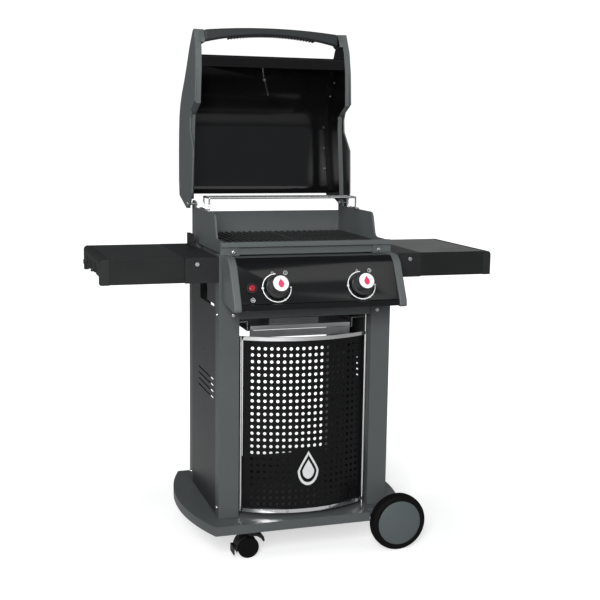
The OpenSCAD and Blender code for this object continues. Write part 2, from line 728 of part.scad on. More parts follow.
// Lever that is pressed down onto the wheels
brake_z = caster_z + caster_d / 2 + 10;
module caster_brake(i) {
  color([0.09, 0.09, 0.1]) at_caster(i) translate([0, caster_trail + 6, brake_z]) difference() {
    union() {
      for (x = [7, -20]) rod_x(x, x + 13, 0, 0, 12);
      for (x = [7, -20]) side_plate(x, x + 13) polygon([[0, 6], [0, -6], [20, -9], [26, -12], [26, -3]]);
      side_plate(-20, 20)
        polygon([[22, -2], [22, -10], [34, -18], [40, -28], [45, -26], [42, -12], [34, -4]]);
    }
    rod_x(-30, 30, 0, 0, 5);
  }
}

// ---- Lid, drawn closed ------------------------------------------------
lid_top = hinge_z + lid_h;
cap_x = hw + 2.3;
cap_t = 5;
rest_z = rim_z + 4;
module opened() {
  translate([0, hinge_y, hinge_z]) rotate([-lid_angle, 0, 0]) translate([0, -hinge_y, -hinge_z]) children();
}
// Frame of an end cap: X = 0 is its outer face, leaning in to the front
module at_cap() {
  translate([cap_x, hinge_y, 0]) rotate([0, 0, -lid_lean]) translate([0, -hinge_y, 0]) children();
}

// Crown of the cap from the handle's carrier over the top to the back
crown = [
  [-138, rest_z + 31], [-134, rest_z + 50], [-93, rest_z + 92], [-34, rest_z + 136],
  [deep(8), rest_z + 170], [deep(46), lid_top - 30], [deep(78), lid_top - 8],
  [deep(118), lid_top + 6], [deep(170), lid_top + 9],
  [hinge_y - 180, lid_top + 8], [hinge_y - 80, lid_top + 1], [hinge_y - 30, lid_top - 9],
  [hinge_y - 18, lid_top - 40]
];
cap_foot = [
  [hinge_y + 14, hinge_z + 30], [hinge_y + 14, hinge_z - 4], [hinge_y, hinge_z - 14],
  [hinge_y - 32, hinge_z - 42], [hinge_y - 170, side_z - 44], [step_y + 83, side_z + 6],
  [step_y + 43, side_z + 5], [step_y + 20, side_z - 10], [step_y - 2, rest_z + 6], [-10, rest_z],
  [-75, rest_z + 6]
];
// Line just inside the crown, and the flange above the cookbox's sides
cap_inner = [
  [-52, rest_z + 16], [-52, rest_z + 66], [deep(20), rest_z + 146], [deep(70), lid_top - 28],
  [deep(118), lid_top - 12], [hinge_y - 180, lid_top - 12], [hinge_y - 90, lid_top - 18],
  [hinge_y - 44, lid_top - 30], [hinge_y - 40, side_z + 36], [step_y + 60, side_z + 36],
  [step_y + 24, side_z + 16], [step_y - 4, rest_z + 24]
];

module cap(side) {
  color([0.38, 0.4, 0.41]) scale_x(side) difference() {
    at_cap() {
      side_plate(-cap_t, 0) polygon(concat(crown, cap_foot));
      // Deeper flange all round, kept above the cookbox's sides
      side_plate(-20, -cap_t + 0.5) difference() {
        polygon(concat(crown, [
          [hinge_y - 16, side_z + 22], [step_y + 70, side_z + 19], [step_y + 32, side_z + 11],
          [step_y + 2, rest_z + 10], [-10, rest_z], [-75, rest_z + 6]
        ]));
        polygon(cap_inner);
      }
      // Carrier for the handle's end
      side_plate(-32, -18) polygon([
        [-138, rest_z + 31], [-134, rest_z + 50], [-108, rest_z + 78], [-96, rest_z + 60],
        [-96, rest_z + 10], [-110, rest_z + 14]
      ]);
    }
    rod_x(cap_x - 40, cap_x + 10, hinge_y, hinge_z, pin_d + 2 * fit);
  }
}

// Sheet between the caps, following the crown's inner side
shroud_out = [
  [-55, rest_z + 16], [-52, rest_z + 40], [-36, rest_z + 76], [deep(32), rest_z + 164],
  [deep(72), lid_top - 27], [deep(104), lid_top - 13], [deep(134), lid_top - 2], [deep(160), lid_top],
  [hinge_y - 176, lid_top], [hinge_y - 60, lid_top - 3], [hinge_y - 42, lid_top - 10],
  [hinge_y - 33, lid_top - 22], [hinge_y - 33, lid_top - 78]
];
shroud_in = [
  [hinge_y - 35, lid_top - 78], [hinge_y - 35, lid_top - 22], [hinge_y - 43, lid_top - 12],
  [hinge_y - 60, lid_top - 5], [hinge_y - 176, lid_top - 2], [deep(160), lid_top - 2],
  [deep(135), lid_top - 4], [deep(105), lid_top - 15], [deep(74), lid_top - 29], [deep(34), rest_z + 163],
  [-34, rest_z + 75], [-50, rest_z + 40], [-53, rest_z + 16]
];
// Half-width that a piece between the caps has, narrowing to the front
module between_caps(inset) {
  intersection() {
    children();
    linear_extrude(3 * hinge_z) polygon([
      for (p = [[1, 900], [1, -300], [-1, -300], [-1, 900]])
        [p[0] * (cap_x - inset - (hinge_y - p[1]) * tan(lid_lean)), p[1]]
    ]);
  }
}

module lid_shroud() {
  color([0.05, 0.05, 0.06]) between_caps(20.3) difference() {
    side_plate(-hw, hw) polygon(concat(shroud_out, shroud_in));
    along_probe(-20) cylinder(d = 12, h = 40, $fn = 32);
  }
}

module lid_lip() {
  color([0.3, 0.31, 0.32]) between_caps(20.3)
    side_plate(-hw, hw) polygon([
      [-20, rest_z + 16], [-56, rest_z + 16], [-56, rest_z + 8], [-50, rest_z + 2], [-20, rest_z + 8]
    ]);
}

handle_half = hw - 43;
module handle_arc(half, y_end, y_mid) {
  sag = y_end - y_mid;
  r = (half * half + sag * sag) / (2 * sag);
  translate([0, y_mid + r]) circle(r = r, $fn = 2 * fine);
}
module lid_handle() {
  color([0.3, 0.31, 0.32]) between_caps(32.02) translate([0, 0, rest_z + 22])
    linear_extrude(handle_h) difference() {
    intersection() {
      handle_arc(handle_half, -136, -148);
      translate([-hw, -152]) square([2 * hw, 60]);
    }
    handle_arc(handle_half - 2, -98, -125);
  }
}

// Thermometer through the sloping front of the lid
probe_y = 6 / 11 * deep(32) - 15.4;
probe_z = rest_z + 124;
probe_tilt = atan2(88, deep(32) + 36);
module along_probe(from = 0) {
  translate([0, probe_y, probe_z]) rotate([probe_tilt, 0, 0]) translate([0, 0, from]) children();
}
module thermometer() {
  color([0.7, 0.7, 0.71]) along_probe() {
    translate([0, 0, 2.5]) cylinder(d = 56, h = 12, $fn = fine);
    translate([0, 0, -70]) cylinder(d = 5, h = 73, $fn = 32);
    translate([0, 0, -6]) cylinder(d = 11, h = 9, $fn = 6);
  }
}

// Screw heads inside the caps and along the shroud's front
cap_screws = [
  [-30, rest_z + 28], [-30, rest_z + 50], [deep(10), rest_z + 104], [deep(50), rest_z + 148],
  [deep(150), lid_top - 11], [hinge_y - 190, lid_top - 11], [hinge_y - 120, lid_top - 11]
];
module lid_screws() {
  color([0.7, 0.7, 0.71]) {
    for (side = [-1, 1]) scale_x(side) at_cap() for (s = cap_screws)
      rod_x(-23, -20, s[0], s[1], 7);
    for (x = [84, 121]) translate([x - hw, -40.8, rest_z + 60]) rotate([-115, 0, 0])
      cylinder(d = 8, h = 4, $fn = 32);
  }
}

module lid_hinge_pins() {
  color([0.6, 0.6, 0.61]) for (side = [-1, 1]) scale_x(side) {
    rod_x(hinge_x - 6, cap_x + 2, hinge_y, hinge_z, pin_d);
    rod_x(cap_x + 1, cap_x + 5, hinge_y, hinge_z, 16);
    rod_x(hinge_x - 6, hinge_x - 0.2, hinge_y, hinge_z, 14);
  }
}

// Middle of the depth, from the foremost point of the knobs to the open lid's back
knob_front = face_knob_y - (16 + grip_h) * cos(panel_lean) - grip_d / 2 * sin(panel_lean);
lid_back = hinge_y + (deep(170) - hinge_y) * cos(lid_angle) + (lid_h + 9) * sin(lid_angle);
module on_origin() translate([0, -(knob_front + lid_back) / 2, 0]) children();

on_origin() base_shelf();
on_origin() front_post(-1);  // left_front_post
on_origin() front_post(1);  // right_front_post
on_origin() rear_posts();
on_origin() side_panel(-1);  // left_side_panel
on_origin() side_panel(1);  // right_side_panel
on_origin() front_crossbar();
on_origin() rear_crossbar();
on_origin() rear_panel();
on_origin() frame_screws();
on_origin() cookbox();
on_origin() flavour_bars();
on_origin() burner_tubes();
on_origin() gas_manifold();
on_origin() grate(-1);  // left_grate
on_origin() grate(1);  // right_grate
on_origin() warming_rack();
on_origin() control_panel();
on_origin() panel_cap(-1);  // left_panel_cap
on_origin() panel_cap(1);  // right_panel_cap
on_origin() igniter_housing();
on_origin() igniter_button();
on_origin() knob_stem(-1);  // left_knob_stem
on_origin() knob_stem(1);  // right_knob_stem
on_origin() knob(-1);  // left_knob
on_origin() knob(1);  // right_knob
on_origin() table_bracket(-1);  // left_table_bracket
on_origin() table_bracket(1);  // right_table_bracket
on_origin() table_top_pan(-1);  // left_table_top
on_origin() table_top_pan(1);  // right_table_top
on_origin() table_trim(-1);  // left_table_trim
on_origin() table_trim(1);  // right_table_trim
on_origin() tool_hooks(-1);  // left_tool_hooks
on_origin() tool_hooks(1);  // right_tool_hooks
on_origin() table_pivots();
on_origin() tray_rails();
on_origin() grease_tray();
on_origin() drip_pan();
on_origin() door_pins();
on_origin() door_frame();
on_origin() door_skin();
on_origin() axle();
on_origin() tyre(front_wheel_y, 1);  // front_tyre
on_origin() hub(front_wheel_y, 1);  // front_hub
on_origin() tyre(rear_wheel_y + wheel_w, -1);  // rear_tyre
on_origin() hub(rear_wheel_y + wheel_w, -1);  // rear_hub
on_origin() caster_hood(0);  // front_caster_hood
on_origin() caster_wheels(0);  // front_caster_wheels
on_origin() caster_brake(0);  // front_caster_brake
on_origin() caster_hood(1);  // rear_caster_hood
on_origin() caster_wheels(1);  // rear_caster_wheels
on_origin() caster_brake(1);  // rear_caster_brake
on_origin() opened() lid_shroud();
on_origin() opened() cap(-1);  // lid_left_cap
on_origin() opened() cap(1);  // lid_right_cap
on_origin() opened() lid_lip();
on_origin() opened() lid_handle();
on_origin() opened() thermometer();
on_origin() opened() lid_screws();
on_origin() lid_hinge_pins();
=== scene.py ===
import math

import bmesh
import bpy
from mathutils import Matrix, Vector


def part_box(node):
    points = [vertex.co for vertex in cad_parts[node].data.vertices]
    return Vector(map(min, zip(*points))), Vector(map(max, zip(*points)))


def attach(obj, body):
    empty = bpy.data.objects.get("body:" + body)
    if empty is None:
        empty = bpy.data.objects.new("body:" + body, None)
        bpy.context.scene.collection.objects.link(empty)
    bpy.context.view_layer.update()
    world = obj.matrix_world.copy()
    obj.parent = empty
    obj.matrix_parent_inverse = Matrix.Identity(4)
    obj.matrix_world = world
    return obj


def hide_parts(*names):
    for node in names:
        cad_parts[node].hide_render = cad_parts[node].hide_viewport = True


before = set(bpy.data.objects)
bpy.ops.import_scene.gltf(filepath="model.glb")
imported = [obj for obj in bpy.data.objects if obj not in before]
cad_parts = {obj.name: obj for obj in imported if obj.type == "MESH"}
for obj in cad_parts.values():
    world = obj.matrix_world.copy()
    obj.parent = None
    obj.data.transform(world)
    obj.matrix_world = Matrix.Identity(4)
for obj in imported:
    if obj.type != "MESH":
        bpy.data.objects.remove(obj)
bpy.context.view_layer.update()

mm = 0.001


# ---- Studio ---------------------------------------------------------------
# A white sweep, with a softbox in front, at each side, behind and overhead.
# The camera stands in front at the left, a little above the cookbox.
cart_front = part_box("left_front_post")[0].y
view_turn, view_tilt, view_roll = math.radians(17.98), math.radians(8.97), math.radians(0.795)
view_from = (-0.9956, cart_front - 3.0003, 1.2841)
focal_length = 64.42

lens = bpy.data.cameras.new("studio_camera")
lens.lens = focal_length
lens.clip_end = 40
camera = bpy.data.objects.new("studio_camera", lens)
camera.matrix_world = (
    Matrix.Translation(view_from)
    @ Matrix.Rotation(-view_turn, 4, "Z")
    @ Matrix.Rotation(math.pi / 2 - view_tilt, 4, "X")
    @ Matrix.Rotation(view_roll, 4, "Z")
)
bpy.context.scene.collection.objects.link(camera)
bpy.context.scene.camera = camera
bpy.context.scene.view_settings.view_transform = "Standard"


def glowing(shader, grey):
    # matt paper that gives off light of its own
    shader.inputs["Base Color"].default_value = (grey, grey, grey, 1)
    shader.inputs["Roughness"].default_value = 0.9
    shader.inputs["Specular IOR Level"].default_value = 0.0
    shader.inputs["Emission Color"].default_value = (1, 1, 1, 1)


def sweep_white():
    paper = bpy.data.materials.new("sweep_paper")
    paper.use_nodes = True
    tree = paper.node_tree
    shader = tree.nodes["Principled BSDF"]
    glowing(shader, 0.6)
    # the paper glows more away from the cart, so that its edge is not seen
    place = tree.nodes.new("ShaderNodeTexCoord")
    away = tree.nodes.new("ShaderNodeVectorMath")
    away.operation = "LENGTH"
    glow = tree.nodes.new("ShaderNodeMapRange")
    glow.inputs["From Min"].default_value = 0.55
    glow.inputs["From Max"].default_value = 1.7
    glow.inputs["To Min"].default_value = 0.6
    glow.inputs["To Max"].default_value = 1.1
    tree.links.new(place.outputs["Object"], away.inputs[0])
    tree.links.new(away.outputs["Value"], glow.inputs["Value"])
    tree.links.new(glow.outputs["Result"], shader.inputs["Emission Strength"])
    # it throws back only a little light onto the barbecue
    plain = tree.nodes.new("ShaderNodeBsdfPrincipled")
    glowing(plain, 0.5)
    plain.inputs["Emission Strength"].default_value = 0.12
    first = tree.nodes.new("ShaderNodeLightPath")
    either = tree.nodes.new("ShaderNodeMixShader")
    tree.links.new(first.outputs["Is Camera Ray"], either.inputs[0])
    tree.links.new(plain.outputs["BSDF"], either.inputs[1])
    tree.links.new(shader.outputs["BSDF"], either.inputs[2])
    tree.links.new(either.outputs["Shader"], tree.nodes["Material Output"].inputs["Surface"])
    return paper


sweep_reach = 14
bm = bmesh.new()
bmesh.ops.create_grid(bm, x_segments=1, y_segments=1, size=sweep_reach)
sweep_mesh = bpy.data.meshes.new("sweep")
bm.to_mesh(sweep_mesh)
bm.free()
sweep = bpy.data.objects.new("sweep", sweep_mesh)
sweep_mesh.materials.append(sweep_white())
bpy.context.scene.collection.objects.link(sweep)

# the air is white behind the barbecue and dimmer as a source of light
sky = bpy.data.worlds.new("studio_air")
sky.use_nodes = True
air = sky.node_tree
backdrop = air.nodes["Background"]
backdrop.inputs["Color"].default_value = (1, 1, 1, 1)
backdrop.inputs["Strength"].default_value = 1.05
room = air.nodes.new("ShaderNodeBackground")
room.inputs["Color"].default_value = (0.93, 0.98, 1, 1)
# the room is lightest in front of the cart
toward = air.nodes.new("ShaderNodeTexCoord")
split = air.nodes.new("ShaderNodeSeparateXYZ")
fade = air.nodes.new("ShaderNodeMapRange")
fade.inputs["From Min"].default_value = -1.0
fade.inputs["From Max"].default_value = 0.1
fade.inputs["To Min"].default_value = 0.4
fade.inputs["To Max"].default_value = 0.1
air.links.new(toward.outputs["Generated"], split.inputs["Vector"])
air.links.new(split.outputs["Y"], fade.inputs["Value"])
air.links.new(fade.outputs["Result"], room.inputs["Strength"])
seen = air.nodes.new("ShaderNodeLightPath")
either = air.nodes.new("ShaderNodeMixShader")
air.links.new(seen.outputs["Is Camera Ray"], either.inputs[0])
air.links.new(room.outputs["Background"], either.inputs[1])
air.links.new(backdrop.outputs["Background"], either.inputs[2])
air.links.new(either.outputs["Shader"], air.nodes["World Output"].inputs["Surface"])
bpy.context.scene.world = sky


def softbox(name, place, target, wide, tall, power):
    light = bpy.data.lights.new(name, "AREA")
    light.shape = "RECTANGLE"
    light.size, light.size_y = wide, tall
    light.energy = power
    lamp = bpy.data.objects.new(name, light)
    aim = (Vector(target) - Vector(place)).to_track_quat("-Z", "Y")
    lamp.matrix_world = Matrix.Translation(place) @ aim.to_matrix().to_4x4()
    bpy.context.scene.collection.objects.link(lamp)


softbox("front_softbox", (-1.7, -4.0, 2.4), (0, 0, 0.75), 1.2, 1.6, 200)
softbox("left_softbox", (-2.4, 0.3, 2.3), (0, 0.1, 1.4), 0.5, 1.4, 22)
softbox("right_softbox", (3.4, -1.0, 2.0), (0, 0, 0.8), 0.5, 2.4, 12)
softbox("back_softbox", (2.9, 4.0, 1.8), (0.3, 0, 0.9), 2.2, 1.8, 5)
softbox("top_softbox", (0.4, -2.4, 3.9), (0, 0, 0.9), 3.0, 1.6, 22)


# ---- Pieces and finishes --------------------------------------------------
# Each CAD piece is finished as a copy whose sharp corners are eased, as
# folded, cast and moulded parts all have. A finish is a shader with its own
# fine grain, and its values sit on the shader's sockets.
def piece(name, bm, body, coat, nodes=(), smooth=30):
    mesh = bpy.data.meshes.new(name)
    bm.to_mesh(mesh)
    bm.free()
    for face in mesh.polygons:
        face.use_smooth = True
    mesh.set_sharp_from_angle(angle=math.radians(smooth))
    made = bpy.data.objects.new(name, mesh)
    mesh.materials.append(coat)
    bpy.context.scene.collection.objects.link(made)
    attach(made, body)
    if nodes:
        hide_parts(*nodes)
    return made


def copy_of(node):
    bm = bmesh.new()
    bm.from_mesh(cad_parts[node].data)
    bmesh.ops.remove_doubles(bm, verts=bm.verts, dist=1e-5)
    bmesh.ops.dissolve_limit(bm, angle_limit=math.radians(0.5), verts=bm.verts, edges=bm.edges)
    return bm


def ease(made, width, segments=2, angle=32):
    bevel = made.modifiers.new("eased_corners", "BEVEL")
    bevel.width = width
    bevel.segments = segments
    bevel.limit_method = "ANGLE"
    bevel.angle_limit = math.radians(angle)
    bevel.harden_normals = True
    return made


def finished(node, body, coat, width=0.8 * mm, segments=2, angle=32):
    made = piece(node + "_piece", copy_of(node), body, coat, [node])
    return ease(made, width, segments, angle)


def at(x, y, z):
    # a point on the cart, in mm: X from its middle, Y from the front posts' faces
    return Vector((x * mm, cart_front + y * mm, z * mm))


def rod_in(bm, start, end, radius, segments):
    run = end - start
    place = Matrix.Translation((start + end) / 2) @ run.to_track_quat("Z", "Y").to_matrix().to_4x4()
    bmesh.ops.create_cone(bm, cap_ends=True, segments=segments, radius1=radius, radius2=radius,
                          depth=run.length, matrix=place)


def turned_in(bm, outline, place, steps=64):
    # a turned shape: its outline gives radius and height in mm
    part = bmesh.new()
    line = [part.verts.new((r * mm, 0, h * mm)) for r, h in outline]
    for a, b in zip(line, line[1:]):
        part.edges.new((a, b))
    bmesh.ops.spin(part, geom=part.verts[:] + part.edges[:], cent=(0, 0, 0), axis=(0, 0, 1),
                   angle=2 * math.pi, steps=steps, use_merge=True)
    bmesh.ops.remove_doubles(part, verts=part.verts, dist=1e-6)
    bmesh.ops.recalc_face_normals(part, faces=part.faces)
    bmesh.ops.transform(part, matrix=place, verts=part.verts)
    carrier = bpy.data.meshes.new("turned")
    part.to_mesh(carrier)
    part.free()
    bm.from_mesh(carrier)
    bpy.data.meshes.remove(carrier)


def screw_in(bm, place, direction, radius, height):
    # pan head with a round driver socket
    turn = Vector(direction).to_track_quat("Z", "Y").to_matrix().to_4x4()
    r, h = radius, height
    turned_in(bm, [(0, -0.2), (r, -0.2), (r, h * 0.35), (r * 0.86, h * 0.8), (r * 0.55, h),
                   (r * 0.4, h), (r * 0.34, h * 0.35), (0, h * 0.3)],
              Matrix.Translation(place) @ turn, 24)


def finish(name, colour, rough, metal=0.0, shine=0.5):
    made = bpy.data.materials.new(name)
    made.use_nodes = True
    shader = made.node_tree.nodes["Principled BSDF"]
    shader.inputs["Base Color"].default_value = (*colour, 1)
    shader.inputs["Roughness"].default_value = rough
    shader.inputs["Metallic"].default_value = metal
    shader.inputs["Specular IOR Level"].default_value = shine
    return made


def grain(made, scale, depth, stretch=(1, 1, 1)):
    # fine relief, cut by a noise in the piece's own space
    tree = made.node_tree
    place = tree.nodes.new("ShaderNodeTexCoord")
    turn = tree.nodes.new("ShaderNodeMapping")
    turn.inputs["Scale"].default_value = stretch
    noise = tree.nodes.new("ShaderNodeTexNoise")
    noise.inputs["Scale"].default_value = scale
    noise.inputs["Detail"].default_value = 3.0
    relief = tree.nodes.new("ShaderNodeBump")
    relief.inputs["Strength"].default_value = 0.6
    relief.inputs["Distance"].default_value = depth
    tree.links.new(place.outputs["Object"], turn.inputs["Vector"])
    tree.links.new(turn.outputs["Vector"], noise.inputs["Vector"])
    tree.links.new(noise.outputs["Fac"], relief.inputs["Height"])
    tree.links.new(relief.outputs["Normal"], tree.nodes["Principled BSDF"].inputs["Normal"])
    return made


def mottle(made, colour_a, colour_b, rough_a, rough_b, scale=7.0):
    # slow change of colour and gloss, as handled and wiped surfaces have
    tree = made.node_tree
    shader = tree.nodes["Principled BSDF"]
    place = tree.nodes.new("ShaderNodeTexCoord")
    noise = tree.nodes.new("ShaderNodeTexNoise")
    noise.inputs["Scale"].default_value = scale
    noise.inputs["Detail"].default_value = 5.0
    tint = tree.nodes.new("ShaderNodeMix")
    tint.data_type = "RGBA"
    tint.inputs["A"].default_value = (*colour_a, 1)
    tint.inputs["B"].default_value = (*colour_b, 1)
    gloss = tree.nodes.new("ShaderNodeMapRange")
    gloss.inputs["To Min"].default_value = rough_a
    gloss.inputs["To Max"].default_value = rough_b
    tree.links.new(place.outputs["Object"], noise.inputs["Vector"])
    tree.links.new(noise.outputs["Fac"], tint.inputs["Factor"])
    tree.links.new(noise.outputs["Fac"], gloss.inputs["Value"])
    tree.links.new(tint.outputs["Result"], shader.inputs["Base Color"])
    tree.links.new(gloss.outputs["Result"], shader.inputs["Roughness"])
    return made


# ---- Base shelf -----------------------------------------------------------
# The cart stands on one shelf pressed from heavy sheet, with a deep rim and
# rounded edges, painted satin grey like the posts.
grey_paint = grain(mottle(
    finish("grey_paint", (0.068, 0.075, 0.076), 0.34, 0, 0.24),
    (0.064, 0.071, 0.072), (0.073, 0.08, 0.081), 0.28, 0.4), 1400, 0.08 * mm)
finished("base_shelf", "frame", grey_paint, 3 * mm, 3)


# ---- Posts, side panels and crossbars -------------------------------------
# Box-section posts carry the sheet side panels. The panels have four louvre
# slots and a hand hole each, and two bars and a low rear panel brace them.
side_paint = grain(mottle(
    finish("side_paint", (0.019, 0.021, 0.022), 0.34, 0, 0.2),
    (0.016, 0.018, 0.019), (0.023, 0.025, 0.026), 0.28, 0.4, 3.0), 1100, 0.08 * mm)
for node in ("left_front_post", "right_front_post", "rear_posts"):
    finished(node, "frame", grey_paint, 3 * mm, 3)
for node in ("left_side_panel", "right_side_panel"):
    finished(node, "frame", side_paint, 0.6 * mm)
for node in ("front_crossbar", "rear_crossbar", "rear_panel"):
    finished(node, "frame", grey_paint, 1.0 * mm)


# ---- Screws ---------------------------------------------------------------
# Zinc-plated pan-head screws hold the posts, the cookbox and the panels.
zinc = grain(mottle(
    finish("zinc", (0.55, 0.55, 0.56), 0.35, 1.0),
    (0.5, 0.5, 0.51), (0.6, 0.6, 0.61), 0.26, 0.42, 60.0), 900, 0.08 * mm)
front_screw_x, cart_half = 226, 269
bm = bmesh.new()
for side in (-1, 1):
    for height in (748, 933):
        screw_in(bm, at(side * front_screw_x, 0, height), (0, -1, 0), 6, 3.6)
    for depth, height in ((22, 159), (387, 159), (22, 748)):
        screw_in(bm, at(side * cart_half, depth, height), (side, 0, 0), 4.5, 3.2)
piece("frame_screw_heads", bm, "frame", zinc, ["frame_screws"])
finished("lid_screws", "lid", zinc, 0.5 * mm)
finished("table_pivots", "frame", zinc, 0.6 * mm)
finished("lid_hinge_pins", "frame", zinc, 0.6 * mm)
finished("axle", "frame", zinc, 0.6 * mm)
finished("tray_rails", "frame", zinc, 0.5 * mm)


# ---- Big wheels -----------------------------------------------------------
# Moulded wheels with a black tyre and a domed grey cover over the spokes.
tyre_rubber = grain(mottle(
    finish("tyre_rubber", (0.003, 0.003, 0.003), 0.7, 0, 0.07),
    (0.0025, 0.0025, 0.0025), (0.005, 0.005, 0.005), 0.6, 0.82, 20.0), 700, 0.25 * mm)
hub_grey = grain(mottle(
    finish("hub_grey", (0.065, 0.078, 0.08), 0.4),
    (0.06, 0.072, 0.074), (0.071, 0.084, 0.086), 0.34, 0.48, 8.0), 1500, 0.08 * mm)
for end in ("front", "rear"):
    low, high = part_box(f"{end}_tyre")
    facing = 1 if end == "front" else -1
    outside = low.y if end == "front" else high.y
    middle = Vector(((low.x + high.x) / 2, outside, (low.z + high.z) / 2))
    wheel_r = (high.z - low.z) / 2 / mm
    bm = bmesh.new()
    turned_in(bm, [(wheel_r - 19, 4), (wheel_r - 12, 2), (wheel_r - 8, 3), (wheel_r - 4, 6.5),
                   (wheel_r - 1.2, 11), (wheel_r - 0.3, 15), (wheel_r, 18), (wheel_r, 19.4),
                   (wheel_r - 1.6, 20), (wheel_r - 1.6, 21.6), (wheel_r, 22.2), (wheel_r, 26),
                   (wheel_r - 1.6, 26.6), (wheel_r - 1.6, 28.2), (wheel_r - 0.2, 28.8),
                   (wheel_r - 0.9, 34), (wheel_r - 4, 40), (wheel_r - 9, 43), (wheel_r - 19, 42),
                   (wheel_r - 19, 4)],
              Matrix.Translation(middle) @ Matrix.Rotation(-facing * math.pi / 2, 4, "X"), 96)
    piece(f"{end}_tyre_tread", bm, f"{end}_wheel", tyre_rubber, [f"{end}_tyre"])
    finished(f"{end}_hub", f"{end}_wheel", hub_grey, 1.0 * mm)


# ---- Casters --------------------------------------------------------------
# Twin-wheel swivel casters under the left side, each with a brake lever.
black_plastic = grain(mottle(
    finish("black_plastic", (0.01, 0.01, 0.011), 0.5, 0, 0.25),
    (0.008, 0.008, 0.009), (0.014, 0.014, 0.015), 0.42, 0.58, 12.0), 420, 0.5 * mm)
for end in ("front", "rear"):
    finished(f"{end}_caster_hood", f"{end}_caster", black_plastic, 1.5 * mm, 3)
    finished(f"{end}_caster_wheels", f"{end}_caster_roller", tyre_rubber, 1.0 * mm)
    finished(f"{end}_caster_brake", f"{end}_caster_lever", black_plastic, 1.2 * mm)


# ---- Cookbox --------------------------------------------------------------
# A deep cast box with stepped sides and a rolled front rail, coated inside
# and out with a fine textured grey paint.
cast_grey = grain(mottle(
    finish("cast_grey", (0.082, 0.091, 0.091), 0.42, 0, 0.35),
    (0.076, 0.085, 0.085), (0.09, 0.099, 0.099), 0.36, 0.5), 800, 0.35 * mm)
finished("cookbox", "frame", cast_grey, 2 * mm, 3)


# ---- Burners, covers and manifold -----------------------------------------
# Stainless burner tubes under folded covers, fed by a brass manifold.
burner_steel = grain(mottle(
    finish("burner_steel", (0.4, 0.39, 0.37), 0.35, 1.0),
    (0.33, 0.32, 0.3), (0.45, 0.44, 0.42), 0.28, 0.45, 14.0), 300, 0.1 * mm, (1, 0.05, 1))
brass = grain(mottle(
    finish("brass", (0.6, 0.45, 0.22), 0.35, 1.0),
    (0.52, 0.38, 0.18), (0.64, 0.5, 0.26), 0.28, 0.42, 30.0), 900, 0.08 * mm)
finished("burner_tubes", "frame", burner_steel, 0.3 * mm, 1)
finished("flavour_bars", "frame", burner_steel, 0.5 * mm)
finished("gas_manifold", "frame", brass, 0.6 * mm)


# ---- Grates and warming rack ----------------------------------------------
# Two cast grates with a satin black glaze; the rack is welded chrome wire.
grate_iron = grain(mottle(
    finish("grate_iron", (0.018, 0.018, 0.019), 0.38),
    (0.014, 0.014, 0.015), (0.026, 0.026, 0.027), 0.3, 0.5, 16.0), 500, 0.5 * mm)
chrome = mottle(
    finish("bright_chrome", (0.78, 0.78, 0.79), 0.1, 1.0),
    (0.74, 0.74, 0.75), (0.8, 0.8, 0.81), 0.07, 0.16, 18.0)
finished("left_grate", "frame", grate_iron, 1.6 * mm)
finished("right_grate", "frame", grate_iron, 1.6 * mm)
finished("warming_rack", "frame", chrome, 0.3 * mm, 1)


# ---- Control panel --------------------------------------------------------
# A folded steel panel in gloss black enamel between two cast end caps.
black_enamel = grain(mottle(
    finish("black_enamel", (0.004, 0.004, 0.0045), 0.12, 0, 0.34),
    (0.003, 0.003, 0.0035), (0.006, 0.006, 0.0065), 0.1, 0.17, 5.0), 160, 0.02 * mm)
finished("control_panel", "frame", black_enamel, 1.2 * mm, 3)
finished("left_panel_cap", "frame", cast_grey, 4 * mm, 4)
finished("right_panel_cap", "frame", cast_grey, 4 * mm, 4)
finished("igniter_housing", "frame", black_plastic, 0.8 * mm)


# ---- Knobs and igniter button ---------------------------------------------
# Moulded knobs on brass stems, and a red push button.
knob_black = grain(mottle(
    finish("knob_black", (0.02, 0.02, 0.022), 0.3),
    (0.018, 0.018, 0.019), (0.024, 0.024, 0.026), 0.24, 0.36, 20.0), 1200, 0.06 * mm)
button_red = grain(mottle(
    finish("button_red", (0.26, 0.008, 0.016), 0.16),
    (0.22, 0.006, 0.012), (0.3, 0.012, 0.02), 0.12, 0.22, 40.0), 900, 0.03 * mm)
print_white = grain(mottle(
    finish("print_white", (0.8, 0.8, 0.8), 0.4),
    (0.77, 0.77, 0.77), (0.84, 0.84, 0.84), 0.34, 0.5, 40.0), 900, 0.02 * mm)
mark_red = grain(mottle(
    finish("mark_red", (0.62, 0.02, 0.1), 0.4),
    (0.56, 0.015, 0.08), (0.68, 0.03, 0.13), 0.34, 0.5, 60.0), 900, 0.02 * mm)


burner_x, igniter_x = 128.5, -202.5
knobs_y, knobs_z, panel_lean = -116, 843, math.radians(65)


def on_panel(x, up=0.0, out=0.0):
    # a place on the panel's face, measured from the line of the knobs' middles
    return (Matrix.Translation(at(x, knobs_y, knobs_z)) @ Matrix.Rotation(panel_lean, 4, "X")
            @ Matrix.Translation((0, up * mm, out * mm)))


